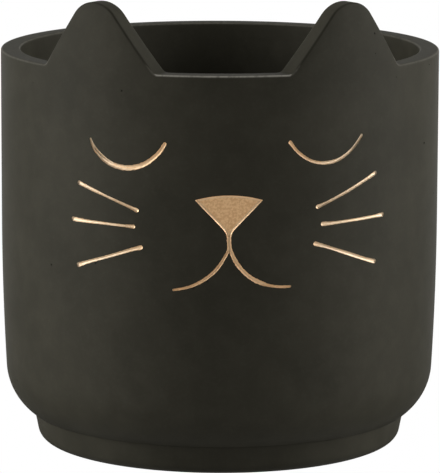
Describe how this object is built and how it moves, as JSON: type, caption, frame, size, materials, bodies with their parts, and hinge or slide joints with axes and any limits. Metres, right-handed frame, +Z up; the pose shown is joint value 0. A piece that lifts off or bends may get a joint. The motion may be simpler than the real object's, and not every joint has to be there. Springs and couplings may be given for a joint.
{
  "type": "animal shaped planter",
  "caption": "Round cement plant pot with two cat ears on its rim and a sleeping cat face engraved and filled in gold, with a drain hole and a stopper that lifts out.",
  "frame": {"origin": "on the pot's axis, in the plane that the felt pads stand on", "axes": "+Z up along the pot's axis, -Y out of the cat's face, +X to the viewer's right when facing it"},
  "size_m": [0.18, 0.18, 0.1915],
  "materials": {
    "cement": "matt, fine-pored dark cement",
    "gold_fill": "brushed gold, satin",
    "stopper_rubber": "matt",
    "felt": "pressed felt"
  },
  "bodies": {
    "pot": {"pot_body": "cement", "left_eye_inlay": "gold_fill", "right_eye_inlay": "gold_fill", "nose_inlay": "gold_fill", "mouth_inlay": "gold_fill", "left_whisker_upper_inlay": "gold_fill", "left_whisker_middle_inlay": "gold_fill", "left_whisker_lower_inlay": "gold_fill", "right_whisker_upper_inlay": "gold_fill", "right_whisker_middle_inlay": "gold_fill", "right_whisker_lower_inlay": "gold_fill", "felt_pad_front_left": "felt", "felt_pad_front_right": "felt", "felt_pad_back_left": "felt", "felt_pad_back_right": "felt"},
    "stopper": {"drain_stopper": "stopper_rubber"}
  },
  "joints": [
    {"name": "stopper_lift", "type": "slide", "parent": "pot", "child": "stopper", "axis": [0, 0, 1], "range_m": [0, 0.19]}
  ]
}
